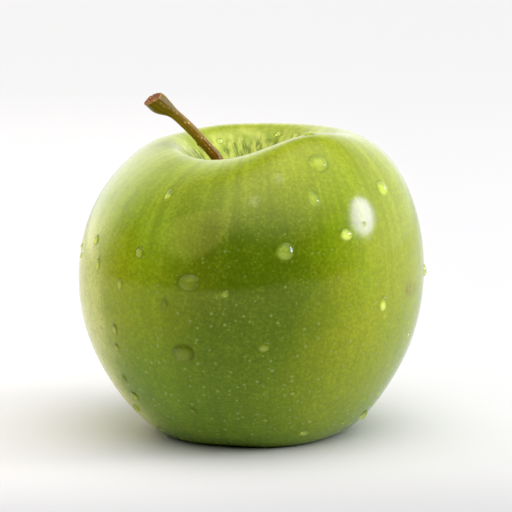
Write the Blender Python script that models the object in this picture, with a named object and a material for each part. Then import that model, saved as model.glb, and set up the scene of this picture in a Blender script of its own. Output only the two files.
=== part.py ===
"""A green apple as picked, in three solids: the fruit, its stalk and its dried calyx.

Metres, with +Z up. The origin is on the surface that the apple rests on, under the middle of the
fruit. The fruit stands on a flat ring worn round the rim of the basin at its calyx end.
"""

import math

import bmesh
import bpy
from mathutils import Matrix, Vector
from mathutils.geometry import interpolate_bezier

# Fruit. The outline's points pull a smooth curve, as (radius, height), from stalk to calyx.
OUTLINE = (
    (0.0000, 0.0520),  # floor of the stalk cavity, on the axis
    (0.0030, 0.0520),
    (0.0096, 0.0587),  # throat of the cavity
    (0.0154, 0.0663),
    (0.0217, 0.0687),  # crown
    (0.0340, 0.0613),  # shoulder
    (0.0410, 0.0446),  # widest part of the cheek
    (0.0401, 0.0261),
    (0.0340, 0.0122),
    (0.0213, -0.0034),  # foot, pulled under the resting plane
    (0.0090, 0.0020),  # wall of the basin
    (0.0030, 0.0080),
    (0.0000, 0.0080),  # floor of the basin, on the axis
)
STEPS_PER_STRETCH = 4  # points on each stretch of the outline
FRUIT_SIDES = 72

# The crown leans up towards +X and a little towards +Y. The lean grows from the waist upwards.
LEAN_X, LEAN_Y = 0.077, 0.050
WAIST_HEIGHT = 0.019
LEAN_FULL_HEIGHT = 0.068
LEAN_MOST_SHARE = 1.3

# Lobes swell the crown's rim: (direction in degrees from +X, height). One is a dip.
CROWN_LOBES = (
    (-54, 0.0029),
    (63, 0.0005),
    (114, 0.0014),
    (171, 0.0013),
    (245, -0.0014),
)
CROWN_RADIUS, CROWN_SPREAD = 0.023, 0.011
CROWN_START, CROWN_RISE = 0.039, 0.028
LOBE_SPREAD = math.radians(24)

# Seen from above the cheeks are slightly oval, wider along one diagonal.
CHEEK_OVAL, CHEEK_OVAL_TURN = 0.041, math.radians(52.7)

# Five soft bumps round the foot reach down past the rest of it. The foot is then worn flat.
FOOT_BUMPS, FOOT_BUMP_DROP, FOOT_BUMP_TURN = 5, 0.00025, math.radians(4)
FOOT_RADIUS, FOOT_SPREAD = 0.0185, 0.008
FOOT_TOP = 0.012
WEAR_BLEND = 0.0002  # height over which the flat ring blends into the round of the foot

# Stalk. Its path is one Bezier curve from its root in the fruit to its cut tip.
CAVITY_FLOOR = Vector((0, 0, OUTLINE[0][1]))
STALK_ROOT_AIM = Vector((-0.56, -0.04, 0.83)).normalized()
STALK_TIP_AIM = Vector((-0.78, -0.37, 0.50)).normalized()
STALK_CUT_AIM = Vector((-0.52, -0.22, 0.83)).normalized()  # the cut at its tip is aslant
STALK_SUNK = 0.004
STALK_TIP = Vector((-0.0225, -0.00515, 0.0773))
STALK_ROOT_PULL, STALK_TIP_PULL = 0.012, 0.0125  # lengths of the curve's handles
STALK_RINGS, STALK_SIDES = 26, 14
STALK_RADIUS = 0.00116
STALK_KNOB_RADIUS = 0.00245
STALK_KNOB_START, STALK_KNOB_FULL = 0.79, 0.98  # shares of the way along
STALK_SLANT_START = 0.76
STALK_FLARE = 0.0002  # how much thicker the stalk is where it grows from the fruit
STALK_FLARE_END = 0.35
STALK_CUT_STEPS = ((0.94, 0.0002), (0.55, 0.0004))  # (share of the knob's radius, height) on the cut

# Calyx. Five dried sepals round a short withered button, hanging in the basin.
BASIN_FLOOR = Vector((0, 0, OUTLINE[-1][1]))
CALYX_SUNK = 0.0022
BUTTON_RADIUS, BUTTON_DROP = 0.0015, 0.0018
BUTTON_TIP_SHARE = 0.8  # its radius at its lower end
BUTTON_SIDES = 12
SEPAL_DIRECTIONS = (4, 73, 149, 214, 291)  # in degrees from +X
SEPAL_WIDTH, SEPAL_THICKNESS = 0.0023, 0.0007
SEPAL_ROOT_SHARE = 0.55  # its width where it leaves the button
SEPAL_PATH = (  # (distance from the axis, drop below the basin's floor) of the points of its curve
    (0.0008, 0.0006),
    (0.0024, 0.0014),
    (0.0030, 0.0034),
    (0.0049, 0.0046),
)
SEPAL_STEPS = 7
SEPAL_CUP = 0.0004  # how far its edges curl below its midrib
SEPAL_POINT_SHARE = 0.16  # width left at its tip
SEPAL_FULLNESS = 0.8  # under 1, the blade keeps its width for longer before its point

GAP = 0.0003  # clear space left between one piece and the next
SOCKET_SIDES = 20
SOCKET_OVERRUN = 0.004  # how far a cutter stands out of the skin
WELD_DISTANCE = 0.000001
CREASE_ANGLE = math.radians(50)

PEEL_GREEN, PEEL_ROUGHNESS = (0.16, 0.33, 0.015, 1), 0.3
STALK_BROWN, STALK_ROUGHNESS = (0.17, 0.095, 0.02, 1), 0.6
CALYX_BROWN, CALYX_ROUGHNESS = (0.075, 0.045, 0.02, 1), 0.8


def clear_scene():
    for obj in list(bpy.data.objects):
        bpy.data.objects.remove(obj)


def plain_material(name, colour, roughness):
    material = bpy.data.materials.new(name)
    material.use_nodes = True
    shader = material.node_tree.nodes["Principled BSDF"]
    shader.inputs["Base Color"].default_value = colour
    shader.inputs["Roughness"].default_value = roughness
    shader.inputs["Metallic"].default_value = 0.0
    return material


def add_object(name, data, material=None):
    obj = bpy.data.objects.new(name, data)
    bpy.context.scene.collection.objects.link(obj)
    if material:
        obj.data.materials.append(material)
    return obj


def mesh_from(bm, name):
    mesh = bpy.data.meshes.new(name)
    bm.to_mesh(mesh)
    bm.free()
    return mesh


def shade_round(mesh):
    mesh.shade_smooth()
    mesh.set_sharp_from_angle(angle=CREASE_ANGLE)


def share(value, start, end):
    """How far value is from start to end, from 0 to 1."""
    return min(1.0, max(0.0, (value - start) / (end - start)))


def smooth_share(value, start, end):
    t = share(value, start, end)
    return t * t * (3 - 2 * t)


def hump(value, middle, spread):
    """A smooth bump of height 1 at middle."""
    return math.exp(-(((value - middle) / spread) ** 2))


def worn_flat(height):
    """A height after wear: 0 where it was well under 0, and unchanged where it was well above."""
    if abs(height) < WEAR_BLEND:
        return (height + WEAR_BLEND) ** 2 / (4 * WEAR_BLEND)
    return max(height, 0.0)


def outline_points():
    """The outline as points, read from a clamped cubic NURBS curve through its pulling points."""
    curve = bpy.data.curves.new("outline", "CURVE")
    curve.dimensions = "3D"
    curve.resolution_u = STEPS_PER_STRETCH
    spline = curve.splines.new("NURBS")
    spline.points.add(len(OUTLINE) - 1)
    for point, (radius, height) in zip(spline.points, OUTLINE):
        point.co = (radius, 0, height, 1)
    spline.order_u = 4
    spline.use_endpoint_u = True
    guide = bpy.data.objects.new("outline", curve)
    mesh = guide.to_mesh()
    points = [vertex.co.copy() for vertex in mesh.vertices]
    guide.to_mesh_clear()
    bpy.data.objects.remove(guide)
    points[0].x = points[-1].x = 0
    return points


def grown(turned):
    """Moves a point of the turned body to where it lies on the grown fruit."""
    radius = math.hypot(turned.x, turned.y)
    angle = math.atan2(turned.y, turned.x)
    height = turned.z
    crown_height = max(point[1] for point in OUTLINE)

    belly = math.sin(math.pi * share(height, 0, crown_height))
    oval = 1 + belly * CHEEK_OVAL * math.cos(2 * (angle - CHEEK_OVAL_TURN))
    x, y = turned.x * oval, turned.y * oval

    lean = (height - WAIST_HEIGHT) / (LEAN_FULL_HEIGHT - WAIST_HEIGHT)
    lean = min(LEAN_MOST_SHARE, max(0.0, lean)) ** 2
    height += lean * (LEAN_X * x + LEAN_Y * y)

    rim = hump(radius, CROWN_RADIUS, CROWN_SPREAD)
    rim *= share(turned.z, CROWN_START, CROWN_START + CROWN_RISE) ** 2
    for direction, swell in CROWN_LOBES:
        apart = math.remainder(angle - math.radians(direction), math.tau)
        height += rim * swell * math.exp(-0.5 * (apart / LOBE_SPREAD) ** 2)

    foot = hump(radius, FOOT_RADIUS, FOOT_SPREAD) * (1 - share(turned.z, 0, FOOT_TOP))
    height -= foot * FOOT_BUMP_DROP * math.cos(FOOT_BUMPS * (angle - FOOT_BUMP_TURN))
    return Vector((x, y, worn_flat(height)))


def rod(start, end, radius):
    """A straight rod with flat ends, which cuts a socket."""
    along = end - start
    bm = bmesh.new()
    bmesh.ops.create_cone(
        bm, cap_ends=True, segments=SOCKET_SIDES, radius1=radius, radius2=radius, depth=along.length
    )
    turn = along.to_track_quat("Z", "Y").to_matrix().to_4x4()
    bm.transform(Matrix.Translation((start + end) / 2) @ turn)
    return bm


def cut_socket(obj, name, start, end, radius):
    cutter = add_object(name, mesh_from(rod(start, end, radius), name))
    cutter.hide_render = True
    cutter.display_type = "WIRE"
    cut = obj.modifiers.new(name, "BOOLEAN")
    cut.operation = "DIFFERENCE"
    cut.solver = "EXACT"
    cut.object = cutter


def build_fruit(material):
    """Turns the outline into a body, grows it out of round, and bores the two sockets."""
    bm = bmesh.new()
    points = outline_points()
    vertices = [bm.verts.new(point) for point in points]
    edges = [bm.edges.new(pair) for pair in zip(vertices, vertices[1:])]
    bmesh.ops.spin(
        bm, geom=vertices + edges, cent=(0, 0, 0), axis=(0, 0, 1), angle=math.tau, steps=FRUIT_SIDES,
        use_merge=True,
    )
    bmesh.ops.remove_doubles(bm, verts=bm.verts, dist=WELD_DISTANCE)
    for vertex in bm.verts:
        vertex.co = grown(vertex.co)
    bmesh.ops.recalc_face_normals(bm, faces=bm.faces)
    mesh = mesh_from(bm, "fruit")
    shade_round(mesh)
    fruit = add_object("fruit", mesh, material)

    cut_socket(
        fruit,
        "stalk_socket",
        CAVITY_FLOOR - (STALK_SUNK + GAP) * STALK_ROOT_AIM,
        CAVITY_FLOOR + SOCKET_OVERRUN * STALK_ROOT_AIM,
        STALK_RADIUS + STALK_FLARE + GAP,
    )
    down = Vector((0, 0, -1))
    cut_socket(
        fruit,
        "calyx_socket",
        BASIN_FLOOR - (CALYX_SUNK + GAP) * down,
        BASIN_FLOOR + SOCKET_OVERRUN * down,
        BUTTON_RADIUS + GAP,
    )
    return fruit


def stalk_radius(along):
    """The stalk's radius at a share of the way from its root to its tip."""
    flare = STALK_FLARE * (1 - smooth_share(along, 0, STALK_FLARE_END))
    knob = smooth_share(along, STALK_KNOB_START, STALK_KNOB_FULL)
    return STALK_RADIUS + flare + knob * (STALK_KNOB_RADIUS - STALK_RADIUS)


def stalk_rings():
    """Each ring's centre, the way it faces and its radius, from the root to the domed cut."""
    root = CAVITY_FLOOR - STALK_SUNK * STALK_ROOT_AIM
    path = interpolate_bezier(
        root,
        root + STALK_ROOT_PULL * STALK_ROOT_AIM,
        STALK_TIP - STALK_TIP_PULL * STALK_TIP_AIM,
        STALK_TIP,
        STALK_RINGS,
    )
    last = STALK_RINGS - 1
    for index, centre in enumerate(path):
        along = index / last
        ahead = (path[min(index + 1, last)] - path[max(index - 1, 0)]).normalized()
        facing = ahead.lerp(STALK_CUT_AIM, smooth_share(along, STALK_SLANT_START, 1))
        yield centre, facing, stalk_radius(along)
    for radius_share, height in STALK_CUT_STEPS:
        yield STALK_TIP + height * STALK_CUT_AIM, STALK_CUT_AIM, STALK_KNOB_RADIUS * radius_share


def build_stalk(material):
    """Rings bridged into a rod that thickens to a knob, where it was joined to the twig."""
    bm = bmesh.new()
    rings = []
    for centre, facing, radius in stalk_rings():
        turn = facing.to_track_quat("Z", "Y").to_matrix().to_4x4()
        circle = bmesh.ops.create_circle(
            bm, segments=STALK_SIDES, radius=radius, matrix=Matrix.Translation(centre) @ turn
        )
        rings.append(list({edge for vertex in circle["verts"] for edge in vertex.link_edges}))
    for ring, next_ring in zip(rings, rings[1:]):
        bmesh.ops.bridge_loops(bm, edges=ring + next_ring)
    bmesh.ops.contextual_create(bm, geom=rings[0])
    bmesh.ops.contextual_create(bm, geom=rings[-1])
    bmesh.ops.recalc_face_normals(bm, faces=bm.faces)
    mesh = mesh_from(bm, "stalk")
    shade_round(mesh)
    return add_object("stalk", mesh, material)


def button():
    """The withered base of the flower: a short plug, sunk in its socket."""
    top = BASIN_FLOOR + Vector((0, 0, CALYX_SUNK))
    bottom = BASIN_FLOOR - Vector((0, 0, BUTTON_DROP))
    bm = bmesh.new()
    bmesh.ops.create_cone(
        bm, cap_ends=True, segments=BUTTON_SIDES, radius1=BUTTON_RADIUS * BUTTON_TIP_SHARE,
        radius2=BUTTON_RADIUS, depth=(top - bottom).length,
    )
    bm.transform(Matrix.Translation((top + bottom) / 2))
    return mesh_from(bm, "button")


def sepal(direction):
    """One pointed blade that hangs from the button and curls outwards at its tip."""
    places = interpolate_bezier(
        *[Vector((out, 0, BASIN_FLOOR.z - drop)) for out, drop in SEPAL_PATH], SEPAL_STEPS + 1
    )
    bm = bmesh.new()
    rings = []
    for index, place in enumerate(places):
        along = index / SEPAL_STEPS
        before, after = places[max(index - 1, 0)], places[min(index + 1, SEPAL_STEPS)]
        ahead = (after - before).normalized()
        outer = Vector((0, 1, 0)).cross(ahead).normalized() * SEPAL_THICKNESS / 2
        fullness = math.cos(along * math.pi / 2) ** SEPAL_FULLNESS
        taper = SEPAL_POINT_SHARE + (1 - SEPAL_POINT_SHARE) * fullness
        half = SEPAL_WIDTH / 2 * min(taper, SEPAL_ROOT_SHARE + along)
        curl = SEPAL_CUP * (half / (SEPAL_WIDTH / 2)) ** 2
        ring = []
        for side, face in ((-1, 1), (0, 1), (1, 1), (1, -1), (0, -1), (-1, -1)):
            dip = outer.normalized() * curl * abs(side)
            ring.append(bm.verts.new(place + Vector((0, side * half, 0)) + outer * face - dip))
        rings.append(ring)
    for ring, next_ring in zip(rings, rings[1:]):
        for k in range(len(ring)):
            n = (k + 1) % len(ring)
            bm.faces.new((ring[k], ring[n], next_ring[n], next_ring[k]))
    bm.faces.new(rings[0])
    bm.faces.new(rings[-1])
    bmesh.ops.triangulate(bm, faces=bm.faces)
    bmesh.ops.recalc_face_normals(bm, faces=bm.faces)
    bm.transform(Matrix.Rotation(direction, 4, "Z"))
    return mesh_from(bm, "sepal")


def build_calyx(material):
    """The button and its sepals, joined in one solid by a Boolean union."""
    calyx = add_object("calyx", button(), material)
    blades = bpy.data.collections.new("sepals")
    bpy.context.scene.collection.children.link(blades)
    for number, direction in enumerate(SEPAL_DIRECTIONS, 1):
        blade = bpy.data.objects.new(f"sepal_{number}", sepal(math.radians(direction)))
        blades.objects.link(blade)
    join = calyx.modifiers.new("join_sepals", "BOOLEAN")
    join.operation = "UNION"
    join.solver = "EXACT"
    join.operand_type = "COLLECTION"
    join.collection = blades
    graph = bpy.context.evaluated_depsgraph_get()
    joined = bpy.data.meshes.new_from_object(calyx.evaluated_get(graph))
    calyx.modifiers.clear()
    calyx.data = joined
    for blade in list(blades.objects):
        bpy.data.objects.remove(blade)
    bpy.data.collections.remove(blades)
    shade_round(calyx.data)
    return calyx


def main():
    clear_scene()
    build_fruit(plain_material("peel", PEEL_GREEN, PEEL_ROUGHNESS))
    build_stalk(plain_material("stalk_bark", STALK_BROWN, STALK_ROUGHNESS))
    build_calyx(plain_material("dried_calyx", CALYX_BROWN, CALYX_ROUGHNESS))


main()
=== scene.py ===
"""A green apple on a pale floor: its skin, stalk and calyx, and the drops of water on it.

Metres, with +Z up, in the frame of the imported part. The fruit's form is the formula of its solid on a
finer grid, with waves, folds and wear added. Places given in pixels are of the 512 x 512 picture.
"""

import math

import bpy
import numpy as np
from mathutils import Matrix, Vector


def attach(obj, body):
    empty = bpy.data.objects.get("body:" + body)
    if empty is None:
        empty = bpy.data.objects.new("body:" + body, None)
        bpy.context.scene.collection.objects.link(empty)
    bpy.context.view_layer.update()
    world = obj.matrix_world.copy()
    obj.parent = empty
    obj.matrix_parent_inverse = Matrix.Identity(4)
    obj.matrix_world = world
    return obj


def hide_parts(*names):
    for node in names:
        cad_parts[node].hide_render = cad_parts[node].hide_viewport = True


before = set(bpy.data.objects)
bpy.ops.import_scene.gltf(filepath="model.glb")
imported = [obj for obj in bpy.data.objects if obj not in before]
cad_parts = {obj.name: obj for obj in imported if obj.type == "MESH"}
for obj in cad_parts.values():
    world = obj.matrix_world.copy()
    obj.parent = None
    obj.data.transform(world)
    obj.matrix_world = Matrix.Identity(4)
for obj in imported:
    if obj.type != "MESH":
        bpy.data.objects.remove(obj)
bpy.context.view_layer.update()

# Camera. It looks along +Y and down, and its aim falls a little off the picture's middle.
PICTURE_SIZE = 512
CAMERA_ELEVATION = math.radians(9.4)
CAMERA_DISTANCE = 0.5
CAMERA_AIM = np.array((0, 0, 0.03345))
AIM_SEEN_AT = (252.2, 285.9)
LENS, SENSOR = 151.2, 36.0
AHEAD = np.array((0, math.cos(CAMERA_ELEVATION), -math.sin(CAMERA_ELEVATION)))
UPWARD = np.array((0, math.sin(CAMERA_ELEVATION), math.cos(CAMERA_ELEVATION)))
CAMERA_PLACE = CAMERA_AIM - CAMERA_DISTANCE * AHEAD

# Form of the fruit, as in its solid: the outline's pulling points as (radius, height).
OUTLINE = (
    (0.0000, 0.0520), (0.0030, 0.0520), (0.0096, 0.0587), (0.0154, 0.0663), (0.0217, 0.0687),
    (0.0340, 0.0613), (0.0410, 0.0446), (0.0401, 0.0261), (0.0340, 0.0122), (0.0213, -0.0034),
    (0.0090, 0.0020), (0.0030, 0.0080), (0.0000, 0.0080),
)
CROWN_HEIGHT = 0.0687
LEAN_X, LEAN_Y = 0.077, 0.05
WAIST_HEIGHT, LEAN_FULL_HEIGHT, LEAN_MOST_SHARE = 0.019, 0.068, 1.3
CROWN_LOBES = ((-54, 0.0029), (63, 0.0005), (114, 0.0014), (171, 0.0013), (245, -0.0014))
CROWN_RADIUS, CROWN_SPREAD = 0.023, 0.011
CROWN_START, CROWN_RISE = 0.039, 0.028
LOBE_SPREAD = math.radians(24)
CHEEK_OVAL, CHEEK_OVAL_TURN = 0.041, math.radians(52.7)
FOOT_BUMPS, FOOT_BUMP_DROP, FOOT_BUMP_TURN = 5, 0.00025, math.radians(4)
FOOT_RADIUS, FOOT_SPREAD, FOOT_TOP = 0.0185, 0.008, 0.012
WEAR_BLEND = 0.0002
SKIN_ROWS, SKIN_SIDES = 180, 288

TINY = 1e-12
SLOPE_STEP = 1e-4  # of a share or a turn, for slopes taken as differences
MILLIMETRES = 1000  # in a metre


def share(value, start, end):
    """How far value is from start to end, from 0 to 1."""
    return np.clip((value - start) / (end - start), 0, 1)


def smooth_share(value, start, end):
    """The same with a soft start and end: 3 t^2 - 2 t^3."""
    t = share(value, start, end)
    return t * t * (3 - 2 * t)


def hump(value, middle, spread):
    """A smooth bump of height 1 at middle: e to the power of minus the squared distance in spreads."""
    return np.exp(-(((value - middle) / spread) ** 2))


def unit(vectors):
    """Vectors divided by their lengths."""
    return vectors / np.maximum(np.linalg.norm(vectors, axis=-1, keepdims=True), TINY)


def turns(count):
    """Evenly spaced turns round a ring, in radians."""
    return np.arange(count) * 2 * math.pi / count


def bezier(pulls, t):
    """Points of the cubic Bezier curve that four points pull, at shares t of its way."""
    powers = [(1 - t) ** 3, 3 * (1 - t) ** 2 * t, 3 * (1 - t) * t**2, t**3]
    return sum(power * np.asarray(pull) for power, pull in zip(powers, pulls))


def circles(side, across, turn):
    """A unit circle for each row of two directions: cosine times side plus sine times across."""
    return np.cos(turn)[:, None] * side[:, None] + np.sin(turn)[:, None] * across[:, None]


def spline(pulls, along):
    """Points of the clamped uniform cubic B-spline that these points pull, by the Cox-de Boor rule."""
    pulls = np.asarray(pulls, float)
    knots = np.concatenate([np.zeros(3), np.linspace(0, 1, len(pulls) - 2), np.ones(3)])
    at = np.clip(along, 0, 1 - 1e-9)[..., None]
    weights = ((knots[:-1] <= at) & (at < knots[1:])).astype(float)
    for degree in (1, 2, 3):
        low, high = knots[: -degree - 1], knots[degree + 1 :]
        rising = (at - low) / np.maximum(knots[degree:-1] - low, TINY)
        falling = (high - at) / np.maximum(high - knots[1:-degree], TINY)
        weights = rising * weights[..., :-1] + falling * weights[..., 1:]
    return weights @ pulls


def grown(along, turn):
    """The fruit's form: the outline turned about Z, made oval, leant at its crown and swollen there
    by lobes, lowered at five bumps round the foot, and worn flat where it would pass below 0."""
    along, turn = np.broadcast_arrays(along, turn)
    radius, height0 = np.moveaxis(spline(OUTLINE, along), -1, 0)
    belly = np.sin(math.pi * share(height0, 0, CROWN_HEIGHT))
    oval = 1 + belly * CHEEK_OVAL * np.cos(2 * (turn - CHEEK_OVAL_TURN))
    x, y = radius * oval * np.cos(turn), radius * oval * np.sin(turn)

    lean = np.clip((height0 - WAIST_HEIGHT) / (LEAN_FULL_HEIGHT - WAIST_HEIGHT), 0, LEAN_MOST_SHARE)
    height = height0 + lean**2 * (LEAN_X * x + LEAN_Y * y)

    rim = hump(radius, CROWN_RADIUS, CROWN_SPREAD)
    rim = rim * share(height0, CROWN_START, CROWN_START + CROWN_RISE) ** 2
    for direction, swell in CROWN_LOBES:
        apart = np.angle(np.exp(1j * (turn - math.radians(direction))))
        height = height + rim * swell * np.exp(-0.5 * (apart / LOBE_SPREAD) ** 2)

    foot = hump(radius, FOOT_RADIUS, FOOT_SPREAD) * (1 - share(height0, 0, FOOT_TOP))
    height = height - foot * FOOT_BUMP_DROP * np.cos(FOOT_BUMPS * (turn - FOOT_BUMP_TURN))
    blend = (height + WEAR_BLEND) ** 2 / (4 * WEAR_BLEND)
    height = np.where(np.abs(height) < WEAR_BLEND, blend, np.maximum(height, 0))
    return np.stack([x, y, height], axis=-1)


def facing_of(along, turn):
    """Unit normals of the form: its slope down crossed with its slope round."""
    before, after = np.clip(along - SLOPE_STEP, 0, 1), np.clip(along + SLOPE_STEP, 0, 1)
    down = grown(after, turn) - grown(before, turn)
    round_ = grown(along, turn + SLOPE_STEP) - grown(along, turn - SLOPE_STEP)
    return unit(np.cross(down, round_))


def side_and_up(facing):
    """Two unit directions along a surface: level to its side, and up it."""
    side = unit(np.cross((0, 0, 1), facing))
    return side, np.cross(facing, side)


# Relief of the skin. Waves are (count, wavelength range, height). Folds are (count, height, turn).
WAVE_COUNT, WAVE_LENGTHS, WAVE_HEIGHT = 14, (0.012, 0.034), 0.000045
CAVITY_FOLDS = ((5, 0.0003, 0.6), (9, 0.00018, 2.1), (17, 0.0001, 0.3), (31, 0.00005, 1.7))
CAVITY_FOLD_RADIUS, CAVITY_FOLD_SPREAD = 0.0085, 0.0055
CAVITY_FOLDS_START, CAVITY_FOLDS_FULL = 0.035, 0.045  # heights
BASIN_FOLDS = ((5, 0.00035, 0.07), (10, 0.00016, 0.4), (23, 0.0001, 1.1), (41, 0.00004, 2.0))
BASIN_FOLD_RADIUS, BASIN_FOLD_SPREAD = 0.0075, 0.0045
BASIN_FOLDS_FULL, BASIN_FOLDS_END = 0.01, 0.014
RELIEF_CLEAR_HEIGHT = 0.003  # the relief fades out below it


def relief(along, turn, place):
    """How far the skin stands out of the form: long waves in random directions, and folds that run
    down the walls of the cavity and of the basin, each a cosine round the axis."""
    draw = np.random.default_rng(7)
    directions = unit(draw.normal(size=(WAVE_COUNT, 3)))
    numbers = 2 * math.pi / draw.uniform(*WAVE_LENGTHS, size=WAVE_COUNT)
    phases = draw.uniform(0, 2 * math.pi, size=WAVE_COUNT)
    waves = np.cos(place @ (directions * numbers[:, None]).T + phases).sum(axis=-1)
    out = waves * WAVE_HEIGHT / math.sqrt(WAVE_COUNT)

    radius = np.hypot(place[..., 0], place[..., 1])
    top = smooth_share(place[..., 2], CAVITY_FOLDS_START, CAVITY_FOLDS_FULL) * (along < 0.5)
    bottom = (along > 0.5) * (1 - smooth_share(place[..., 2], BASIN_FOLDS_FULL, BASIN_FOLDS_END))
    for folds, near in (
        (CAVITY_FOLDS, top * hump(radius, CAVITY_FOLD_RADIUS, CAVITY_FOLD_SPREAD)),
        (BASIN_FOLDS, bottom * hump(radius, BASIN_FOLD_RADIUS, BASIN_FOLD_SPREAD)),
    ):
        for count, height, start in folds:
            out = out + near * height * np.cos(count * turn + start)
    standing = np.where(radius > FOOT_RADIUS / 2, share(place[..., 2], 0, RELIEF_CLEAR_HEIGHT), 1)
    return out * standing


def skin_at(along, turn):
    """The skin: the form moved out along its normals by the relief."""
    place = grown(along, turn)
    facing = facing_of(along, turn)
    place = place + facing * relief(along, turn, place)[..., None]
    place[..., 2] = np.maximum(place[..., 2], 0)
    return place


def add_piece(name, points, faces, material):
    """A smooth mesh object at the origin from points and faces."""
    mesh = bpy.data.meshes.new(name)
    mesh.from_pydata(points, [], faces)
    mesh.shade_smooth()
    mesh.materials.append(material)
    piece = bpy.data.objects.new(name, mesh)
    bpy.context.scene.collection.objects.link(piece)
    return piece


def keep_on_points(piece, name, vectors):
    """Stores a vector for each point, for a material to read."""
    attribute = piece.data.attributes.new(name, "FLOAT_VECTOR", "POINT")
    attribute.data.foreach_set("vector", np.asarray(vectors, np.float32).ravel())


def ring_faces(rows, sides):
    """Quads between rows of closed rings, facing out when rows run down and sides run round."""
    row, side = np.meshgrid(np.arange(rows - 1), np.arange(sides), indexing="ij")
    here, beside = row * sides, (side + 1) % sides
    quads = np.stack([here + side, here + sides + side, here + sides + beside, here + beside], axis=-1)
    return quads.reshape(-1, 4)


def pole_fans(count, sides):
    """Triangles from the first ring to the pole after count points, and from the last to the next."""
    side = np.arange(sides)
    beside, last = (side + 1) % sides, count - sides
    first_fan = np.stack([np.full(sides, count), side, beside], axis=-1)
    last_fan = np.stack([np.full(sides, count + 1), last + beside, last + side], axis=-1)
    return np.concatenate([first_fan, last_fan])


def closed_tube(rings, first_pole, last_pole):
    """Points and faces of rings joined in order, with a fan to a pole at each end."""
    rows, sides = rings.shape[:2]
    points = np.concatenate([rings.reshape(-1, 3), [first_pole], [last_pole]])
    return points, ring_faces(rows, sides).tolist() + pole_fans(rows * sides, sides).tolist()


def build_skin(material):
    """The skin on a grid of its two shares, closed by a pole in the cavity and one in the basin."""
    along = np.arange(1, SKIN_ROWS)[:, None] / SKIN_ROWS
    along, turn = np.broadcast_arrays(along, turns(SKIN_SIDES)[None])
    rings = skin_at(along, turn)
    round_pole = np.arange(8.0)
    poles = [skin_at(np.full(8, end), round_pole).mean(axis=0) for end in (TINY, 1.0)]
    points, faces = closed_tube(rings, *poles)
    skin = add_piece("apple_skin", points, faces, material)
    lines = np.stack([np.cos(turn), np.sin(turn), along], axis=-1).reshape(-1, 3)
    keep_on_points(skin, "meridian", np.concatenate([lines, [[0, 0, 0], [0, 0, 1]]]))
    return skin


# Stalk, as in its solid.
CAVITY_FLOOR = np.array((0, 0, 0.052))
STALK_ROOT_AIM = unit((-0.56, -0.04, 0.83))
STALK_TIP_AIM = unit((-0.78, -0.37, 0.5))
STALK_CUT_AIM = unit((-0.52, -0.22, 0.83))
STALK_SUNK = 0.004
STALK_TIP = np.array((-0.0225, -0.00515, 0.0773))
STALK_ROOT_PULL, STALK_TIP_PULL = 0.012, 0.0125
STALK_RADIUS, STALK_KNOB_RADIUS = 0.00116, 0.00232
STALK_KNOB_START, STALK_KNOB_FULL, STALK_SLANT_START = 0.825, 0.96, 0.87
STALK_FLARE, STALK_FLARE_END = 0.0002, 0.35
STALK_ROWS, STALK_SIDES, CUT_ROWS = 220, 72, 26
STALK_RIDGES = ((5, 0.022, 0.4), (9, 0.014, 1.9), (16, 0.008, 0.7))  # (count, share of radius, twist)
STALK_TWIST = 6  # times a ridge's own twist, in radians from root to tip
KNOB_LOBES = ((2, 0.02, 0.5), (3, 0.025, 1.2), (7, 0.012, 2.2))
KNOB_SAG = (0.93, 0.045, 0.00035)  # (share along, spread, most) of the knob's hang
CUT_DOME, CUT_ROUGHNESS = 0.0007, 0.0001
CUT_WAVES, CUT_WAVE_NUMBER = 9, 3800
CUT_OUTER, CUT_INNER, CUT_EVEN_RIM = 0.965, 0.04, 0.95  # shares of the cut's radius
BUD_SCAR = (0.6, 0.35, 0.0004)  # (share along, turn, height)
BUD_SCAR_SPREAD = (0.012, 0.45)  # (share along, turn)


def cut_rings(inward, edge):
    """The slanting cut, from its middle: rings drawn in from its edge, on a dome that short waves in
    random directions make rough."""
    offset = inward[..., None] * edge[None]
    draw = np.random.default_rng(11)
    grain = draw.normal(size=(CUT_WAVES, 3)) * CUT_WAVE_NUMBER
    waves = np.cos(offset @ grain.T + draw.uniform(0, 6, CUT_WAVES)).sum(axis=-1)
    rough = CUT_ROUGHNESS * waves / math.sqrt(CUT_WAVES) * (inward < CUT_EVEN_RIM)
    return offset + (CUT_DOME * (1 - inward**2) + rough)[..., None] * STALK_CUT_AIM


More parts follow.
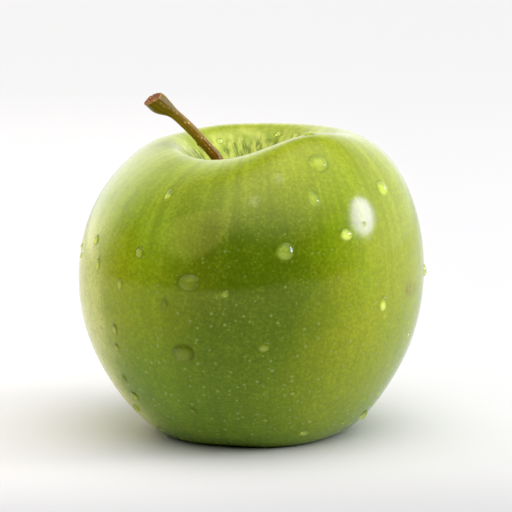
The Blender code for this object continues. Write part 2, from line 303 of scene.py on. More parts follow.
def build_stalk(material):
    """A round section carried along a Bezier curve: ridges run along it, it thickens to an uneven
    knob, and a rough dome closes the slanting cut."""
    along = np.linspace(0, 1, STALK_ROWS)
    root = CAVITY_FLOOR - STALK_SUNK * STALK_ROOT_AIM
    root_pull = root + STALK_ROOT_PULL * STALK_ROOT_AIM
    tip_pull = STALK_TIP - STALK_TIP_PULL * STALK_TIP_AIM
    t = along[:, None]
    path = bezier((root, root_pull, tip_pull, STALK_TIP), t)
    ahead = unit(np.gradient(path, axis=0))
    slant = smooth_share(along, STALK_SLANT_START, 1)[:, None]
    facing = unit(ahead * (1 - slant) + STALK_CUT_AIM * slant)

    flare = STALK_FLARE * (1 - smooth_share(along, 0, STALK_FLARE_END))
    knob = smooth_share(along, STALK_KNOB_START, STALK_KNOB_FULL)
    radius = STALK_RADIUS + flare + knob * (STALK_KNOB_RADIUS - STALK_RADIUS)

    turn = turns(STALK_SIDES)
    shaft_share = np.ones((STALK_ROWS, STALK_SIDES))
    for count, height, twist in STALK_RIDGES:
        shaft_share += height * np.cos(count * turn + twist * STALK_TWIST * t)
    for count, height, start in KNOB_LOBES:
        shaft_share += knob[:, None] * height * np.cos(count * turn + start)
    scar_along, scar_turn, scar_height = BUD_SCAR
    beside = np.angle(np.exp(1j * (turn - scar_turn)))
    scar = hump(along, scar_along, BUD_SCAR_SPREAD[0])[:, None] * hump(beside, 0, BUD_SCAR_SPREAD[1])
    reach = radius[:, None] * shaft_share + scar * scar_height

    side = unit(np.cross(facing, (0, 1, 0)))
    across = np.cross(facing, side)
    sag_at, sag_spread, sag_most = KNOB_SAG
    middle = path + side * sag_most * hump(along, sag_at, sag_spread)[:, None]
    shaft = middle[:, None] + reach[..., None] * circles(side, across, turn)

    inward = np.linspace(CUT_OUTER, CUT_INNER, CUT_ROWS)[:, None]
    cut = cut_rings(inward, shaft[-1] - middle[-1]) + middle[-1]
    rings = np.concatenate([shaft, cut])[::-1]
    points, faces = closed_tube(rings, cut[-1].mean(axis=0), root)
    stalk = add_piece("apple_stalk", points, faces, material)

    on_along = np.concatenate([along, 1 + (1 - inward[:, 0])])[:, None]  # 1 to 2 across the cut
    lines = np.stack(np.broadcast_arrays(np.cos(turn), np.sin(turn), on_along), axis=-1)
    lines = lines[::-1].reshape(-1, 3)
    keep_on_points(stalk, "lengthwise", np.concatenate([lines, [[0, 0, 2], [1, 0, 0]]]))
    return stalk


# Calyx, as in its solid: (direction in degrees, length share, curl share) of each sepal.
BASIN_FLOOR = np.array((0, 0, 0.008))
CALYX_SUNK = 0.0022
BUTTON_RADIUS, BUTTON_DROP, BUTTON_TIP_SHARE, BUTTON_ROUNDING = 0.0015, 0.0018, 0.8, 0.7
BUTTON_WRINKLES = ((7, 0.05, 0), (13, 0.03, 1))  # (count, share of radius, turn)
BUTTON_ROWS, BUTTON_SIDES = 14, 32
SEPALS = ((4, 1.00, 1.0), (73, 0.96, 0.8), (149, 1.00, 1.1), (214, 0.94, 0.9), (291, 1.00, 1.0))
SEPAL_WIDTH, SEPAL_THICKNESS, SEPAL_ROOT_SHARE = 0.0023, 0.00045, 0.55
SEPAL_PATH = ((0.0008, 0.0006), (0.0024, 0.0014), (0.003, 0.0034), (0.0049, 0.0046))
SEPAL_CUP, SEPAL_POINT_SHARE, SEPAL_FULLNESS, SEPAL_THIN_SHARE = 0.0004, 0.1, 0.8, 0.35
SEPAL_CRUMPLE_ACROSS, SEPAL_CRUMPLE_ALONG = (0.0001, 5200), (0.00007, 23)  # (height, wave number)
SEPAL_ROWS, SEPAL_SIDES = 26, 20
STAMENS, STAMEN_RADIUS, STAMEN_ROOT, STAMEN_START_SHARE = 11, 0.00011, 0.0007, 0.7
STAMEN_SPREAD = (0.0002, 0.0011)  # least and most, as in the next two
STAMEN_DROP, STAMEN_BOW = (0.0009, 0.0017), (-0.0003, 0.0004)
STAMEN_UNEVEN = 0.2  # radians


def sepal_rings(direction, length, curl):
    """A flat oval section carried along a Bezier curve that hangs and curls outwards, cupped across,
    narrowing to a point, and crumpled by cosines along and across it."""
    t = np.linspace(0, 1, SEPAL_ROWS)
    path = bezier(SEPAL_PATH, t[:, None]) * length
    slope = np.gradient(path, axis=0)
    out = unit(np.stack([slope[:, 1], slope[:, 0]], axis=-1))

    fullness = np.cos(t * math.pi / 2 * 0.999) ** SEPAL_FULLNESS  # 0.999 keeps the cosine above 0
    taper = SEPAL_POINT_SHARE + (1 - SEPAL_POINT_SHARE) * fullness
    half = SEPAL_WIDTH / 2 * np.minimum(taper, SEPAL_ROOT_SHARE + t)
    across = np.cos(turns(SEPAL_SIDES))[None] * half[:, None]
    thickness = SEPAL_THIN_SHARE + (1 - SEPAL_THIN_SHARE) * half / half.max()
    thick = np.sin(turns(SEPAL_SIDES))[None] * SEPAL_THICKNESS / 2 * thickness[:, None]
    (wide, wide_number), (long, long_number) = SEPAL_CRUMPLE_ACROSS, SEPAL_CRUMPLE_ALONG
    crumple = wide * np.cos(across * wide_number + direction)
    crumple = crumple + long * np.cos(t * long_number + direction)[:, None]
    dip = SEPAL_CUP * (across / (SEPAL_WIDTH / 2)) ** 2 - crumple * t[:, None]
    lift = thick - dip * curl
    from_axis = path[:, :1] + out[:, :1] * lift
    below = path[:, 1:] - out[:, 1:] * lift
    angle = math.radians(direction)
    x = from_axis * math.cos(angle) - across * math.sin(angle)
    y = from_axis * math.sin(angle) + across * math.cos(angle)
    return np.stack([x, y, BASIN_FLOOR[2] - below], axis=-1)[:, ::-1]


def rod_rings(start, end, radius, bend, rows=9, sides=8):
    """A thin round thread from start to end that bows by bend, as half a sine wave."""
    t = np.linspace(0, 1, rows)[:, None]
    path = start + (end - start) * t + np.sin(math.pi * t) * bend
    ahead = unit(np.gradient(path, axis=0))
    side = unit(np.cross(ahead, (1, 0.3, 0.1)))  # any direction that no thread runs in
    ring = circles(side, np.cross(ahead, side), turns(sides))
    return (path[:, None] + radius * ring)[:, ::-1]


def button_rings():
    """A round button that narrows and rounds off downwards, wrinkled by cosines round it."""
    t = np.linspace(0, 1, BUTTON_ROWS)
    turn = turns(BUTTON_SIDES)
    radius = BUTTON_RADIUS * (1 - (1 - BUTTON_TIP_SHARE) * t) * np.sqrt(1 - BUTTON_ROUNDING * t**8)
    height = BASIN_FLOOR[2] + CALYX_SUNK - t * (CALYX_SUNK + BUTTON_DROP)
    wrinkle = 1 + sum(size * np.cos(count * turn + start) for count, size, start in BUTTON_WRINKLES)
    reach = radius[:, None] * wrinkle
    x, y = reach * np.cos(turn), reach * np.sin(turn)
    return np.stack([x, y, np.broadcast_to(height[:, None], x.shape)], axis=-1)


def stamen_rings():
    """Threads that stand round the axis under the button, each with its own seeded reach and bow."""
    draw = np.random.default_rng(3)
    threads = []
    for angle in turns(STAMENS):
        angle += draw.uniform(-STAMEN_UNEVEN, STAMEN_UNEVEN)
        aim = np.array((math.cos(angle), math.sin(angle), 0))
        start = BASIN_FLOOR + aim * STAMEN_ROOT - (0, 0, BUTTON_DROP * STAMEN_START_SHARE)
        end = start + aim * draw.uniform(*STAMEN_SPREAD) - (0, 0, draw.uniform(*STAMEN_DROP))
        threads.append(rod_rings(start, end, STAMEN_RADIUS, aim * draw.uniform(*STAMEN_BOW)))
    return threads


def build_calyx(material):
    """Five dried sepals round a button, with withered stamens in the middle."""
    shells = [button_rings()] + [sepal_rings(*sepal) for sepal in SEPALS] + stamen_rings()
    points, faces, count = [], [], 0
    for rings in shells:
        own_points, own_faces = closed_tube(rings, rings[0].mean(axis=0), rings[-1].mean(axis=0))
        points.append(own_points)
        faces += [[corner + count for corner in face] for face in own_faces]
        count += len(own_points)
    return add_piece("dried_calyx", np.concatenate(points), faces, material)


def seen_at(points):
    """Where points fall in the picture, in pixels across and down."""
    offset = points - CAMERA_PLACE
    scale = LENS / SENSOR * PICTURE_SIZE / (offset @ AHEAD)
    across = AIM_SEEN_AT[0] + offset[..., 0] * scale
    down = AIM_SEEN_AT[1] - (offset @ UPWARD) * scale
    return np.stack([across, down], axis=-1)


# The search for the skin under a pixel. The last two are in pixels: how much farther than the
# nearest point one may be and still count, and how many count as a metre of depth.
SEARCH_ALONG, SEARCH_TURN = np.linspace(0.02, 0.85, 160), np.linspace(-math.pi, math.pi, 240)
SEARCH_MOVES, SEARCH_MOST_MOVE = 6, (0.02, 0.12)
SEARCH_SLACK, SEARCH_GAP = 1.5, 50


def skin_under(pixels):
    """The shares (along, turn) of the skin nearest to each pixel, on the side that the camera sees:
    the nearest point of a grid, moved by Newton's rule where the pixel lies inside the outline."""
    pixels = np.asarray(pixels, float)
    along, turn = np.meshgrid(SEARCH_ALONG, SEARCH_TURN, indexing="ij")
    along, turn = along.ravel(), turn.ravel()
    place, facing = grown(along, turn), facing_of(along, turn)
    shown = ((CAMERA_PLACE - place) * facing).sum(axis=-1) > 0
    along, turn, place = along[shown], turn[shown], place[shown]
    gap = np.linalg.norm(seen_at(place)[None] - pixels[:, None], axis=-1)
    depth = (place - CAMERA_PLACE) @ AHEAD
    counts = gap < gap.min(axis=1, keepdims=True) + SEARCH_SLACK
    best = np.where(counts, depth[None] + gap / SEARCH_GAP, np.inf).argmin(axis=1)
    found = np.stack([along[best], turn[best]], axis=-1)
    for _ in range(SEARCH_MOVES):
        along, turn = found[:, 0], found[:, 1]
        here = seen_at(grown(along, turn))
        slope_along = (seen_at(grown(along + SLOPE_STEP, turn)) - here) / SLOPE_STEP
        slope_turn = (seen_at(grown(along, turn + SLOPE_STEP)) - here) / SLOPE_STEP
        slopes = np.stack([slope_along, slope_turn], axis=-1)
        move = np.linalg.solve(slopes + np.eye(2) * TINY, (pixels - here)[..., None])[..., 0]
        small = (np.abs(move) < SEARCH_MOST_MOVE).all(axis=-1, keepdims=True)
        found = found + move * small
    return found


# Drops that the picture shows: (across, down) in pixels, width and height in millimetres on the skin,
# the lean of its top towards +X in degrees, and the light gathered on the skin under it, from 0 to 1.
DROPS = (
    (319, 163, 4.3, 4.6, 0, 0.2), (313.5, 198, 2.6, 4.8, -22, 0.22), (382, 188, 3.4, 3.8, -10, 0.42),
    (347, 234, 3.4, 2.8, 0, 0.55), (286, 251, 3.7, 4, 0, 0.16), (364, 224, 1.1, 1.2, 0, 0.1),
    (426, 270.5, 2.4, 3, 0, 0.2), (279.5, 134, 1.9, 1.8, 0, 0.5), (310, 133.5, 4, 2.2, 0, 0.25),
    (296, 135, 2, 2, 0, 0.6), (220, 141, 1.7, 1.6, 0, 0.35), (169, 195, 1.7, 3.4, -14, 0.6),
    (96.6, 239.6, 2, 2.4, 0, 1), (82, 246, 1.4, 1.6, 0, 0), (81.5, 255.6, 1.2, 1.4, 0, 0),
    (140, 252.4, 2.3, 2.4, 15, 0.4), (98, 264, 1.6, 3.2, 0, 1), (120, 284, 1.6, 2.6, 0, 0.8),
    (189, 282.5, 4.9, 3.8, 0, 0.12), (164.6, 303.6, 1.4, 2.7, 25, 0.2), (226, 294, 1.9, 1.7, 0, 0.2),
    (115, 329, 1.7, 2.6, 0, 0.7), (117, 347, 1.5, 2, 0, 0.6), (184, 353, 4.9, 4.2, 0, 0.16),
    (124, 378, 1.6, 2.2, 0, 0), (135, 396, 2.4, 2.6, 0, 0.8), (136.5, 407.5, 2.6, 2.6, 0, 0),
    (160, 427, 1.4, 1.4, 0, 0), (178, 435, 0.9, 0.9, 0, 0), (193, 410, 1.5, 1.4, 0, 0.25),
    (383.5, 303.6, 2.3, 3.4, 0, 0.5), (384, 317, 0.8, 0.8, 0, 0), (265, 347, 2.4, 2.1, 0, 0.2),
    (293, 393, 1.4, 1, 0, 0.4), (363, 414.5, 3, 3, 0, 0.4), (305, 432, 2, 2, 0, 0.35),
    (310, 421, 1.2, 1, 0, 0.5), (320, 420, 1, 0.8, 0, 0), (266, 420, 1.5, 0.9, 0, 0.5),
    (343, 422, 1.5, 1.2, 0, 0), (364, 398.6, 1.5, 1.2, 0, 0), (378, 393, 1, 1, 0, 0),
    (372, 404, 0.9, 0.9, 0, 0), (350, 423, 0.9, 0.9, 0, 0), (408, 323, 0.9, 0.9, 0, 0),
    (408, 335.5, 0.8, 0.8, 0, 0),
)
HIDDEN_DROPS = 44  # where the picture doesn't show
HIDDEN_TURNS, HIDDEN_ALONGS = (math.radians(18), math.radians(162)), (0.42, 0.78)
HIDDEN_LEAST, HIDDEN_MORE, HIDDEN_RARITY = 0.00042, 0.0018, 2.6  # half widths
HIDDEN_STRETCH, HIDDEN_LEAN = (0.85, 1.35), (-0.4, 0.4)
DROP_RINGS, DROP_SIDES = 14, 28
DROP_WOBBLES = ((2, 0.05), (3, 0.05), (5, 0.02))  # (count, most share of its width)
DROP_STEEPNESS = 0.62  # height as a share of the smaller half width, for a small drop
DROP_FLATTENING = 90  # the loss of it for each metre of half width
DROP_SAG, DROP_SAG_POWER = 0.16, 1.5
DROP_SUNK, DROP_DEPTH, DROP_DEPTH_RISE = 0.00004, 0.00012, 9


def drop_places():
    """Each drop's (along, turn), half width, half height and lean: those seen, then seeded ones."""
    seen = np.array(DROPS)
    places = skin_under(seen[:, :2])
    halves = seen[:, 2:4] / 2 / MILLIMETRES
    leans = np.radians(seen[:, 4])
    draw = np.random.default_rng(21)
    turn = draw.uniform(*HIDDEN_TURNS, HIDDEN_DROPS)
    along = draw.uniform(*HIDDEN_ALONGS, HIDDEN_DROPS)
    sizes = HIDDEN_LEAST + HIDDEN_MORE * draw.uniform(0, 1, HIDDEN_DROPS) ** HIDDEN_RARITY
    stretch = draw.uniform(*HIDDEN_STRETCH, HIDDEN_DROPS)
    places = np.concatenate([places, np.stack([along, turn], axis=-1)])
    halves = np.concatenate([halves, np.stack([sizes, sizes * stretch], axis=-1)])
    leans = np.concatenate([leans, draw.uniform(*HIDDEN_LEAN, HIDDEN_DROPS)])
    return places, halves, leans


def drop_caps(halves):
    """Each drop as if on a flat surface: how far its points are across, up and out of it, on a cap of
    a sphere over an oval made uneven by cosines, its top sagging. Also the cap's middle height."""
    draw = np.random.default_rng(5)
    angle = turns(DROP_SIDES)
    wobble = np.ones((len(halves), DROP_SIDES))
    for waves, most in DROP_WOBBLES:
        size = draw.uniform(0, most, (len(halves), 1))
        wobble += size * np.cos(waves * angle + draw.uniform(0, 6.3, (len(halves), 1)))
    reach = np.linspace(0, 1, DROP_RINGS + 1)[1:]
    reach = np.sin(reach * math.pi / 2)[None, :, None]
    wide, tall = halves[:, 0, None, None], halves[:, 1, None, None]
    x = reach * wobble[:, None] * np.cos(angle) * wide
    y = reach * wobble[:, None] * np.sin(angle) * tall

    smaller = halves.min(axis=1)[:, None, None]
    height = DROP_STEEPNESS * smaller * (1 - DROP_FLATTENING * smaller)
    sphere = (smaller**2 + height**2) / (2 * height)
    squared = (sphere**2 - (reach * smaller) ** 2).clip(0)
    rise = (np.sqrt(squared) - (sphere - height)).clip(0)
    rise = np.broadcast_to(rise, x.shape)
    sag = DROP_SAG * tall * (rise / height) ** DROP_SAG_POWER
    return x, y - sag, rise, height[:, 0]


def build_drops(material):
    """Drops of water, each cap laid on the skin by the skin's slopes at the drop's middle, and closed
    underneath by a point just inside the skin."""
    places, halves, leans = drop_places()
    count = len(places)
    along, turn = places[:, 0], places[:, 1]
    centre, facing = skin_at(along, turn), facing_of(along, turn)
    side, up = side_and_up(facing)
    lean_cos, lean_sin = np.cos(leans)[:, None], np.sin(leans)[:, None]
    side, up = side * lean_cos - up * lean_sin, up * lean_cos + side * lean_sin
    x, y, rise, height = drop_caps(halves)
    flat = x[..., None] * side[:, None, None] + y[..., None] * up[:, None, None]

    slope_along = grown(along + SLOPE_STEP, turn) - grown(along - SLOPE_STEP, turn)
    slope_turn = grown(along, turn + SLOPE_STEP) - grown(along, turn - SLOPE_STEP)
    slopes = np.stack([slope_along, slope_turn], axis=-1) / (2 * SLOPE_STEP)
    moves = np.einsum("nij,nrsj->nrsi", np.linalg.pinv(slopes), flat)
    own_along = along[:, None, None] + moves[..., 0]
    own_turn = turn[:, None, None] + moves[..., 1]
    top = facing_of(own_along, own_turn) * (rise - DROP_SUNK)[..., None]
    top = top + skin_at(own_along, own_turn)
    crown = centre - up * (DROP_SAG * halves[:, 1:]) + facing * (height - DROP_SUNK)
    depth = DROP_DEPTH + DROP_DEPTH_RISE * halves.min(axis=1, keepdims=True) ** 2
    under = centre - facing * depth

    points = np.concatenate([top.reshape(count, -1, 3), crown[:, None], under[:, None]], axis=1)
    each = DROP_RINGS * DROP_SIDES
    quads = ring_faces(DROP_RINGS, DROP_SIDES)
    fans = pole_fans(each, DROP_SIDES)
    starts = np.arange(count)[:, None, None] * (each + 2)
    faces = (quads + starts).reshape(-1, 4).tolist() + (fans + starts).reshape(-1, 3).tolist()
    return add_piece("water_drops", points.reshape(-1, 3), faces, material)


class Painter:
    """Builds the nodes of a material or a world. Each method adds a node and gives back its output."""

    def __init__(self, name, kinds=bpy.data.materials, shader="Principled BSDF"):
        self.painted = kinds.new(name)
        self.painted.use_nodes = True
        self.tree = self.painted.node_tree
        self.shader = self.tree.nodes[shader]

    def put(self, socket, value):
        if isinstance(value, bpy.types.NodeSocket):
            self.tree.links.new(value, socket)
        else:
            socket.default_value = value

    def node(self, kind, inputs=None, output=0, **settings):
        node = self.tree.nodes.new(kind)
        for setting, value in settings.items():
            setattr(node, setting, value)
        for socket, value in (inputs or {}).items():
            self.put(node.inputs[socket], value)
        return node.outputs[output]

    def finish(self, **values):
        """Sets the shader's sockets, named with _ for a space, and gives back what is painted."""
        for name, value in values.items():
            self.put(self.shader.inputs[name.replace("_", " ")], value)
        return self.painted

    def place(self):
        return self.node("ShaderNodeTexCoord", output="Object")

    def kept(self, name):
        return self.node("ShaderNodeAttribute", output="Vector", attribute_name=name)

    def axis(self, vector, output):
        return self.node("ShaderNodeSeparateXYZ", {0: vector}, output=output)

    def sum(self, a, b, operation="ADD"):
        return self.node("ShaderNodeMath", {0: a, 1: b}, operation=operation)

    def times(self, a, b):
        return self.sum(a, b, "MULTIPLY")

    def most(self, a, b):
        return self.sum(a, b, "MAXIMUM")

    def stretched(self, vector, scale):
        return self.node("ShaderNodeVectorMath", {0: vector, 1: scale}, operation="MULTIPLY")

    def distance(self, vector, place):
        return self.node("ShaderNodeVectorMath", {0: vector, 1: place}, output=1, operation="DISTANCE")

    def ramp(self, value, start, end, low=0.0, high=1.0):
        """A soft step from low to high as the value goes from start to end."""
        inputs = {"Value": value, "From Min": start, "From Max": end, "To Min": low, "To Max": high}
        return self.node("ShaderNodeMapRange", inputs, interpolation_type="SMOOTHSTEP")

    def cosine(self, direction, azimuth, elevation):
        """Cosine of the angle between a unit direction and the one at these angles, in degrees."""
        azimuth, elevation = math.radians(azimuth), math.radians(elevation)
        level = math.cos(elevation)
        aim = (level * math.cos(azimuth), level * math.sin(azimuth), math.sin(elevation))
        inputs = {0: direction, 1: aim}
        return self.node("ShaderNodeVectorMath", inputs, output="Value", operation="DOT_PRODUCT")

    def noise(self, vector, scale, detail, roughness):
        inputs = {"Vector": vector, "Scale": scale, "Detail": detail, "Roughness": roughness}
        return self.node("ShaderNodeTexNoise", inputs)

    def cells(self, vector, scale):
        """How far each point is from the middle of its cell, and that cell's own random number."""
        far = self.node("ShaderNodeTexVoronoi", {"Vector": vector, "Scale": scale}, output="Distance")
        return far, self.axis(far.node.outputs["Color"], "X")

    def mix(self, part, a, b, blend="MIX"):
        inputs = {0: part, 6: a, 7: b}
        return self.node("ShaderNodeMix", inputs, output=2, data_type="RGBA", blend_type=blend)

    def bump(self, height, distance, strength, under=None):
        inputs = {"Height": height, "Distance": distance, "Strength": strength}
        if under:
            inputs["Normal"] = under
        return self.node("ShaderNodeBump", inputs)


# Colours of the skin, from the deepest green, also used as painted shade, to the pale yellow of the
# cavity's walls. The pale sheen colour and the lit colour under the drops are painted light.
SKIN_DEEP_AND_SHADE = (0.103, 0.163, 0.003, 1)
SKIN_LOW = (0.112, 0.226, 0.004, 1)
SKIN_GREEN = (0.225, 0.352, 0.005, 1)
SKIN_YELLOW = (0.37, 0.405, 0.008, 1)
SKIN_FLECK = (0.56, 0.56, 0.065, 1)
PAINTED_SHEEN = (0.63, 0.68, 0.145, 1)
SKIN_CAVITY = (0.56, 0.63, 0.11, 1)
PORE_PALE, PORE_HALO = (0.39, 0.46, 0.15, 1), (0.25, 0.35, 0.06, 1)
SCAR_BROWN, SCUFF_PALE = (0.22, 0.13, 0.04, 1), (0.4, 0.45, 0.18, 1)
LIT_SKIN = (0.66, 0.73, 0.1, 1)

# Patches: their middles as (across, down) in pixels, and strength. An edge is the distance where a
# patch starts to fade and the one where it ends.
# Painted shade: a deeper green patch on the front, which the lamps leave dim.
SHADED_FRONT_PATCH, SHADED_FRONT_EDGE, SHADED_FRONT_SHAPE = (252, 310), (0.008, 0.032), (1, 1, 0.6)
# Yellow-green patches on the sides: partly the skin's own colour, partly painted light where the lamps
# fall.
YELLOW_AND_LIT_PATCHES = ((100, 290, 0.6), (400, 262, 0.6), (362, 372, 0.5))
# Painted sheen: pale patches along the left rim and on the crown's rim, where bright surroundings glance
# off.
PAINTED_SHEEN_PATCHES = ((84, 262, 0.85), (88, 320, 0.9), (106, 376, 0.85), (280, 130, 0.4))
YELLOW_AND_LIT_EDGE, PAINTED_SHEEN_EDGE = (0.006, 0.03), (0.002, 0.02)
PATCH_WANDER = 0.03
LOW_HEIGHTS, SHEEN_SIDE_HEIGHTS, CROWN_HEIGHTS = (0.042, 0.014), (0.056, 0.044), (0.05, 0.07)
# The band of painted sheen lies between these cosines and the heights above.
SHEEN_SIDE_COSINES = (-0.82, -0.94)  # of the turn, so towards -X
FINE_SHARE, MOTTLE_SHARE, FLECK_SHARE = 0.11, 0.16, 0.49  # of the fine variation
CAVITY_WALL, BASIN_WALL, CAVITY_STREAKS_END = (0.27, 0.19), (0.86, 0.93), (0.215, 0.17)  # along
PORE_CELLS = 690  # cells a metre for the pores
SCAR_AT, SCAR_SHAPE, SCAR_EDGE = (411, 289), (1, 0.45, 1.1), (0.0012, 0.0026)
SCUFFS_AT, SCUFF_EDGE, SCUFF_WANDER = ((254, 201), (279, 179)), (0.0024, 0.0048), 0.0055
# Light that a drop gathers and the shade round it: how far off the drop's middle, and the edges, all
# in shares of the drop's halves.
LIGHT_SHIFT, LIGHT_EDGE = (-0.22, -0.28), (0.2, 1.15)
SHADE_SHIFT, SHADE_EDGE, SHADE_STRENGTH = (-0.1, -0.04), (1.0, 1.3), 0.55


def skin_place(pixel):
    """The place on the skin that the picture shows at a pixel."""
    return grown(*skin_under([pixel]).T)[0]


def patch(paint, place, pixel, wander, edge, strength=1, shape=(1, 1, 1)):
    """How much of a patch a point has: its strength near the place at a pixel, fading over its edge.
    The distance is measured in a stretched space, and wander is added to it."""
    far = paint.distance(paint.stretched(place, shape), skin_place(pixel) * shape)
    return paint.ramp(paint.sum(far, wander), *edge, strength, 0)


def skin_ground(paint, place, lines, height, blotches):
    """Green, deeper at the foot, with painted shade in a patch in front; yellower at the crown and in
    patches that are partly painted light; and a pale painted sheen in patches and in a band on the
    side towards -X."""
    wander = paint.times(paint.sum(blotches, -0.5), PATCH_WANDER)
    low = paint.ramp(height, *LOW_HEIGHTS, 0, 0.6)
    colour = paint.mix(low, SKIN_GREEN, SKIN_LOW)
    # Painted shade on the dim front.
    front_shade = patch(paint, place, SHADED_FRONT_PATCH, wander, SHADED_FRONT_EDGE, shape=SHADED_FRONT_SHAPE)
    colour = paint.mix(front_shade, colour, paint.mix(low, SKIN_DEEP_AND_SHADE, SKIN_LOW))
    # The yellow patches are partly painted light on the lit sides; the pale ones are painted sheen.
    for patches, edge, own in (
        (YELLOW_AND_LIT_PATCHES, YELLOW_AND_LIT_EDGE, SKIN_YELLOW),
        (PAINTED_SHEEN_PATCHES, PAINTED_SHEEN_EDGE, PAINTED_SHEEN),
    ):
        for *pixel, strength in patches:
            colour = paint.mix(patch(paint, place, pixel, wander, edge, strength), colour, own)
    # Painted sheen: a pale band on the side towards -X.
    side = paint.ramp(paint.axis(lines, "X"), *SHEEN_SIDE_COSINES, 0, 0.8)
    side = paint.times(side, paint.ramp(height, *SHEEN_SIDE_HEIGHTS))
    colour = paint.mix(side, colour, PAINTED_SHEEN)
    return paint.mix(paint.ramp(height, *CROWN_HEIGHTS, 0, 0.6), colour, SKIN_YELLOW)


def skin_variation(paint, colour, place, lines, height, fine_streaks, mottle):
    """Fine streaks, mottle, flecks and the crown's broad streaks in one sum, which makes the skin
    paler where it is high and darker where low."""
    broad_streaks = paint.noise(paint.stretched(lines, (1, 1, 0.1)), 17, 2, 0.5)
    flecks = paint.noise(place, 1350, 2, 0.7)
    vary = paint.sum(paint.times(fine_streaks, FINE_SHARE), paint.times(mottle, MOTTLE_SHARE))
    vary = paint.sum(vary, paint.times(flecks, FLECK_SHARE))
    broad = paint.times(paint.sum(broad_streaks, -0.5), paint.ramp(height, 0.04, 0.058, 0.1, 0.42))
    vary = paint.sum(vary, paint.sum(broad, 0.12))
    colour = paint.mix(paint.ramp(vary, 0.5, 0.66, 0, 0.12), colour, SKIN_FLECK)
    return paint.mix(1.0, colour, paint.ramp(vary, 0.36, 0.62, 0.82, 1.14), "MULTIPLY")


def hollow_walls(paint, colour, lines, along, mottle):
    """Pale walls with green mottle and dark streaks down them, in the cavity and the basin."""
    streaks = paint.ramp(paint.noise(paint.stretched(lines, (1, 1, 1.6)), 9, 4, 0.75), 0.58, 0.4)
    streaks = paint.times(streaks, paint.ramp(along, *CAVITY_STREAKS_END, 0.2, 0.9))
    walls = paint.mix(paint.ramp(mottle, 0.62, 0.38, 0, 0.55), SKIN_CAVITY, SKIN_GREEN)
    walls = paint.mix(streaks, walls, SKIN_DEEP_AND_SHADE)
    colour = paint.mix(paint.ramp(along, *CAVITY_WALL), colour, walls)
    return paint.mix(paint.ramp(along, *BASIN_WALL), colour, walls)


def skin_pores(paint, colour, place, height):
    """Pale pores with a dim halo, one in each cell, larger lower down. Also how much pore there is."""
    far, chance = paint.cells(place, PORE_CELLS)
    size = paint.ramp(chance, 0.2, 1.0, 0.05, 0.21)
    size = paint.times(size, paint.ramp(height, 0.058, 0.022, 0.5, 1.15))
    inside = paint.sum(size, far, "SUBTRACT")
    pore = paint.ramp(inside, -0.05, 0.1)
    colour = paint.mix(paint.ramp(inside, -0.2, 0.03, 0, 0.4), colour, PORE_HALO)
    return paint.mix(paint.times(pore, 0.42), colour, PORE_PALE), pore


def skin_marks(paint, colour, place, lines):
    """A small brown scar of short strokes, and pale ragged scuffs. Also how much scar there is."""
    ragged = paint.times(paint.noise(place, 1500, 3, 0.7), SCUFF_WANDER)
    strokes = paint.noise(paint.stretched(lines, (1, 1, 0.35)), 95, 2, 0.6)
    scar = patch(paint, place, SCAR_AT, 0.0, SCAR_EDGE, shape=SCAR_SHAPE)
    scar = paint.times(scar, paint.ramp(strokes, 0.44, 0.54))
    colour = paint.mix(paint.times(scar, 0.8), colour, SCAR_BROWN)
    for pixel in SCUFFS_AT:
        scuff = patch(paint, place, pixel, ragged, SCUFF_EDGE, 0.45)
        colour = paint.mix(scuff, colour, SCUFF_PALE)
    return colour, scar


def light_under_drops(paint, colour, place):
    """A shaded oval under each drop that gathers light, and a lit one inside it: soft balls on the
    skin, in a space whose scale makes the drop's oval a ball of radius 1."""
    drops = np.array([drop for drop in DROPS if drop[-1] > 0], float)
    along, turn = skin_under(drops[:, :2]).T
    middles, (side, up) = grown(along, turn), side_and_up(facing_of(along, turn))
    halves = drops[:, 2:4] / 2 / MILLIMETRES
    wide, tall = halves[:, :1], halves[:, 1:]
    scales = 1 / np.concatenate([wide, wide, tall], axis=1)
    lights, shades = (
        (middles + across * wide * side + rise * tall * up) * scales
        for across, rise in (LIGHT_SHIFT, SHADE_SHIFT)
    )
    lit, shaded = 0.0, 0.0
    for light_at, shade_at, scale, light in zip(lights, shades, scales, drops[:, -1]):
        scaled = paint.stretched(place, scale)
        light_far, shade_far = paint.distance(scaled, light_at), paint.distance(scaled, shade_at)
        lit = paint.most(lit, paint.ramp(light_far, *LIGHT_EDGE, light, 0))
        shaded = paint.most(shaded, paint.ramp(shade_far, *SHADE_EDGE, SHADE_STRENGTH, 0))
    colour = paint.mix(shaded, colour, SKIN_DEEP_AND_SHADE)
    return paint.mix(lit, colour, LIT_SKIN)


